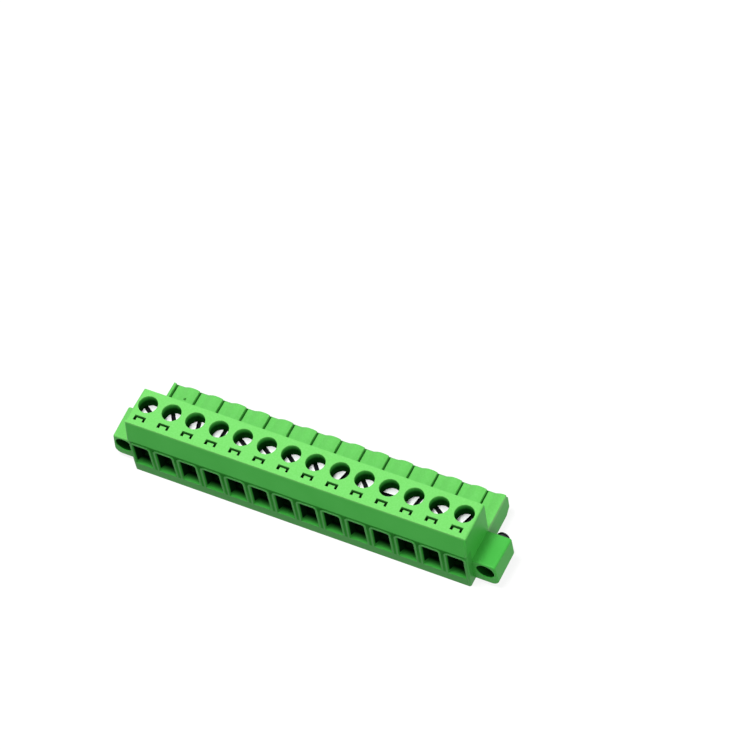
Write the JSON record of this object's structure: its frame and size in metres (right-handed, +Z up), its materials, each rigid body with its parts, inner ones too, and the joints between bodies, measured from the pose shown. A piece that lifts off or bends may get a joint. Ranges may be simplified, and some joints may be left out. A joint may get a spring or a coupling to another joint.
{
  "type": "pluggable screw terminal block",
  "caption": "Green pluggable terminal block with a row of screw-clamp wire entries, slotted screws in round wells and a screw flange at each end.",
  "frame": {"origin": "middle of the underside of the whole block, flanges and mating part included", "axes": "+X along the row of poles, with the toothed steps of the mating part rising towards +X; +Y from the wire side to the mating side; +Z up, the way the wells open"},
  "size_m": [0.0812, 0.018, 0.015],
  "materials": {
    "housing_green": "satin moulded polyamide, finely speckled on top",
    "frame_green": "satin moulded polyamide",
    "screw_steel": "bright zinc-plated steel",
    "cage_steel": "galvanised steel",
    "contact_metal": "tin-plated copper alloy"
  },
  "bodies": {
    "block": {"housing": "housing_green", "wire_entry_frame": "frame_green", "contact_01": "contact_metal", "contact_02": "contact_metal", "contact_03": "contact_metal", "contact_04": "contact_metal", "contact_05": "contact_metal", "contact_06": "contact_metal", "contact_07": "contact_metal", "contact_08": "contact_metal", "contact_09": "contact_metal", "contact_10": "contact_metal", "contact_11": "contact_metal", "contact_12": "contact_metal", "contact_13": "contact_metal", "contact_14": "contact_metal"},
    "clamp_screw_01_body": {"clamp_screw_01": "screw_steel"},
    "clamp_cage_01_body": {"clamp_cage_01": "cage_steel"},
    "clamp_screw_02_body": {"clamp_screw_02": "screw_steel"},
    "clamp_cage_02_body": {"clamp_cage_02": "cage_steel"},
    "clamp_screw_03_body": {"clamp_screw_03": "screw_steel"},
    "clamp_cage_03_body": {"clamp_cage_03": "cage_steel"},
    "clamp_screw_04_body": {"clamp_screw_04": "screw_steel"},
    "clamp_cage_04_body": {"clamp_cage_04": "cage_steel"},
    "clamp_screw_05_body": {"clamp_screw_05": "screw_steel"},
    "clamp_cage_05_body": {"clamp_cage_05": "cage_steel"},
    "clamp_screw_06_body": {"clamp_screw_06": "screw_steel"},
    "clamp_cage_06_body": {"clamp_cage_06": "cage_steel"},
    "clamp_screw_07_body": {"clamp_screw_07": "screw_steel"},
    "clamp_cage_07_body": {"clamp_cage_07": "cage_steel"},
    "clamp_screw_08_body": {"clamp_screw_08": "screw_steel"},
    "clamp_cage_08_body": {"clamp_cage_08": "cage_steel"},
    "clamp_screw_09_body": {"clamp_screw_09": "screw_steel"},
    "clamp_cage_09_body": {"clamp_cage_09": "cage_steel"},
    "clamp_screw_10_body": {"clamp_screw_10": "screw_steel"},
    "clamp_cage_10_body": {"clamp_cage_10": "cage_steel"},
    "clamp_screw_11_body": {"clamp_screw_11": "screw_steel"},
    "clamp_cage_11_body": {"clamp_cage_11": "cage_steel"},
    "clamp_screw_12_body": {"clamp_screw_12": "screw_steel"},
    "clamp_cage_12_body": {"clamp_cage_12": "cage_steel"},
    "clamp_screw_13_body": {"clamp_screw_13": "screw_steel"},
    "clamp_cage_13_body": {"clamp_cage_13": "cage_steel"},
    "clamp_screw_14_body": {"clamp_screw_14": "screw_steel"},
    "clamp_cage_14_body": {"clamp_cage_14": "cage_steel"},
    "flange_screw_left_body": {"flange_screw_left": "screw_steel"},
    "flange_screw_right_body": {"flange_screw_right": "screw_steel"}
  },
  "joints": [
    {"name": "clamp_screw_01_turn", "type": "hinge", "parent": "block", "child": "clamp_screw_01_body", "pos_m": [-0.03302, -0.00312, 0.0115], "axis": [0, 0, -1], "range_deg": [0, 1440]},
    {"name": "clamp_cage_01_lift", "type": "slide", "parent": "block", "child": "clamp_cage_01_body", "axis": [0, 0, 1], "range_m": [0, 0.002]},
    {"name": "clamp_screw_02_turn", "type": "hinge", "parent": "block", "child": "clamp_screw_02_body", "pos_m": [-0.02794, -0.00312, 0.0115], "axis": [0, 0, -1], "range_deg": [0, 1440]},
    {"name": "clamp_cage_02_lift", "type": "slide", "parent": "block", "child": "clamp_cage_02_body", "axis": [0, 0, 1], "range_m": [0, 0.002]},
    {"name": "clamp_screw_03_turn", "type": "hinge", "parent": "block", "child": "clamp_screw_03_body", "pos_m": [-0.02286, -0.00312, 0.0115], "axis": [0, 0, -1], "range_deg": [0, 1440]},
    {"name": "clamp_cage_03_lift", "type": "slide", "parent": "block", "child": "clamp_cage_03_body", "axis": [0, 0, 1], "range_m": [0, 0.002]},
    {"name": "clamp_screw_04_turn", "type": "hinge", "parent": "block", "child": "clamp_screw_04_body", "pos_m": [-0.01778, -0.00312, 0.0115], "axis": [0, 0, -1], "range_deg": [0, 1440]},
    {"name": "clamp_cage_04_lift", "type": "slide", "parent": "block", "child": "clamp_cage_04_body", "axis": [0, 0, 1], "range_m": [0, 0.002]},
    {"name": "clamp_screw_05_turn", "type": "hinge", "parent": "block", "child": "clamp_screw_05_body", "pos_m": [-0.0127, -0.00312, 0.0115], "axis": [0, 0, -1], "range_deg": [0, 1440]},
    {"name": "clamp_cage_05_lift", "type": "slide", "parent": "block", "child": "clamp_cage_05_body", "axis": [0, 0, 1], "range_m": [0, 0.002]},
    {"name": "clamp_screw_06_turn", "type": "hinge", "parent": "block", "child": "clamp_screw_06_body", "pos_m": [-0.00762, -0.00312, 0.0115], "axis": [0, 0, -1], "range_deg": [0, 1440]},
    {"name": "clamp_cage_06_lift", "type": "slide", "parent": "block", "child": "clamp_cage_06_body", "axis": [0, 0, 1], "range_m": [0, 0.002]},
    {"name": "clamp_screw_07_turn", "type": "hinge", "parent": "block", "child": "clamp_screw_07_body", "pos_m": [-0.00254, -0.00312, 0.0115], "axis": [0, 0, -1], "range_deg": [0, 1440]},
    {"name": "clamp_cage_07_lift", "type": "slide", "parent": "block", "child": "clamp_cage_07_body", "axis": [0, 0, 1], "range_m": [0, 0.002]},
    {"name": "clamp_screw_08_turn", "type": "hinge", "parent": "block", "child": "clamp_screw_08_body", "pos_m": [0.00254, -0.00312, 0.0115], "axis": [0, 0, -1], "range_deg": [0, 1440]},
    {"name": "clamp_cage_08_lift", "type": "slide", "parent": "block", "child": "clamp_cage_08_body", "axis": [0, 0, 1], "range_m": [0, 0.002]},
    {"name": "clamp_screw_09_turn", "type": "hinge", "parent": "block", "child": "clamp_screw_09_body", "pos_m": [0.00762, -0.00312, 0.0115], "axis": [0, 0, -1], "range_deg": [0, 1440]},
    {"name": "clamp_cage_09_lift", "type": "slide", "parent": "block", "child": "clamp_cage_09_body", "axis": [0, 0, 1], "range_m": [0, 0.002]},
    {"name": "clamp_screw_10_turn", "type": "hinge", "parent": "block", "child": "clamp_screw_10_body", "pos_m": [0.0127, -0.00312, 0.0115], "axis": [0, 0, -1], "range_deg": [0, 1440]},
    {"name": "clamp_cage_10_lift", "type": "slide", "parent": "block", "child": "clamp_cage_10_body", "axis": [0, 0, 1], "range_m": [0, 0.002]},
    {"name": "clamp_screw_11_turn", "type": "hinge", "parent": "block", "child": "clamp_screw_11_body", "pos_m": [0.01778, -0.00312, 0.0115], "axis": [0, 0, -1], "range_deg": [0, 1440]},
    {"name": "clamp_cage_11_lift", "type": "slide", "parent": "block", "child": "clamp_cage_11_body", "axis": [0, 0, 1], "range_m": [0, 0.002]},
    {"name": "clamp_screw_12_turn", "type": "hinge", "parent": "block", "child": "clamp_screw_12_body", "pos_m": [0.02286, -0.00312, 0.0115], "axis": [0, 0, -1], "range_deg": [0, 1440]},
    {"name": "clamp_cage_12_lift", "type": "slide", "parent": "block", "child": "clamp_cage_12_body", "axis": [0, 0, 1], "range_m": [0, 0.002]},
    {"name": "clamp_screw_13_turn", "type": "hinge", "parent": "block", "child": "clamp_screw_13_body", "pos_m": [0.02794, -0.00312, 0.0115], "axis": [0, 0, -1], "range_deg": [0, 1440]},
    {"name": "clamp_cage_13_lift", "type": "slide", "parent": "block", "child": "clamp_cage_13_body", "axis": [0, 0, 1], "range_m": [0, 0.002]},
    {"name": "clamp_screw_14_turn", "type": "hinge", "parent": "block", "child": "clamp_screw_14_body", "pos_m": [0.03302, -0.00312, 0.0115], "axis": [0, 0, -1], "range_deg": [0, 1440]},
    {"name": "clamp_cage_14_lift", "type": "slide", "parent": "block", "child": "clamp_cage_14_body", "axis": [0, 0, 1], "range_m": [0, 0.002]},
    {"name": "flange_screw_left_turn", "type": "hinge", "parent": "block", "child": "flange_screw_left_body", "pos_m": [-0.0381, -0.0023, 0.0044], "axis": [0, 1, 0], "continuous": true},
    {"name": "flange_screw_right_turn", "type": "hinge", "parent": "block", "child": "flange_screw_right_body", "pos_m": [0.0381, -0.0023, 0.0044], "axis": [0, 1, 0], "continuous": true}
  ],
  "couplings": [
    {"joint": "clamp_screw_01_turn", "follows": "clamp_cage_01_lift", "rad_per_m": 12566},
    {"joint": "clamp_screw_02_turn", "follows": "clamp_cage_02_lift", "rad_per_m": 12566},
    {"joint": "clamp_screw_03_turn", "follows": "clamp_cage_03_lift", "rad_per_m": 12566},
    {"joint": "clamp_screw_04_turn", "follows": "clamp_cage_04_lift", "rad_per_m": 12566},
    {"joint": "clamp_screw_05_turn", "follows": "clamp_cage_05_lift", "rad_per_m": 12566},
    {"joint": "clamp_screw_06_turn", "follows": "clamp_cage_06_lift", "rad_per_m": 12566},
    {"joint": "clamp_screw_07_turn", "follows": "clamp_cage_07_lift", "rad_per_m": 12566},
    {"joint": "clamp_screw_08_turn", "follows": "clamp_cage_08_lift", "rad_per_m": 12566},
    {"joint": "clamp_screw_09_turn", "follows": "clamp_cage_09_lift", "rad_per_m": 12566},
    {"joint": "clamp_screw_10_turn", "follows": "clamp_cage_10_lift", "rad_per_m": 12566},
    {"joint": "clamp_screw_11_turn", "follows": "clamp_cage_11_lift", "rad_per_m": 12566},
    {"joint": "clamp_screw_12_turn", "follows": "clamp_cage_12_lift", "rad_per_m": 12566},
    {"joint": "clamp_screw_13_turn", "follows": "clamp_cage_13_lift", "rad_per_m": 12566},
    {"joint": "clamp_screw_14_turn", "follows": "clamp_cage_14_lift", "rad_per_m": 12566}
  ]
}
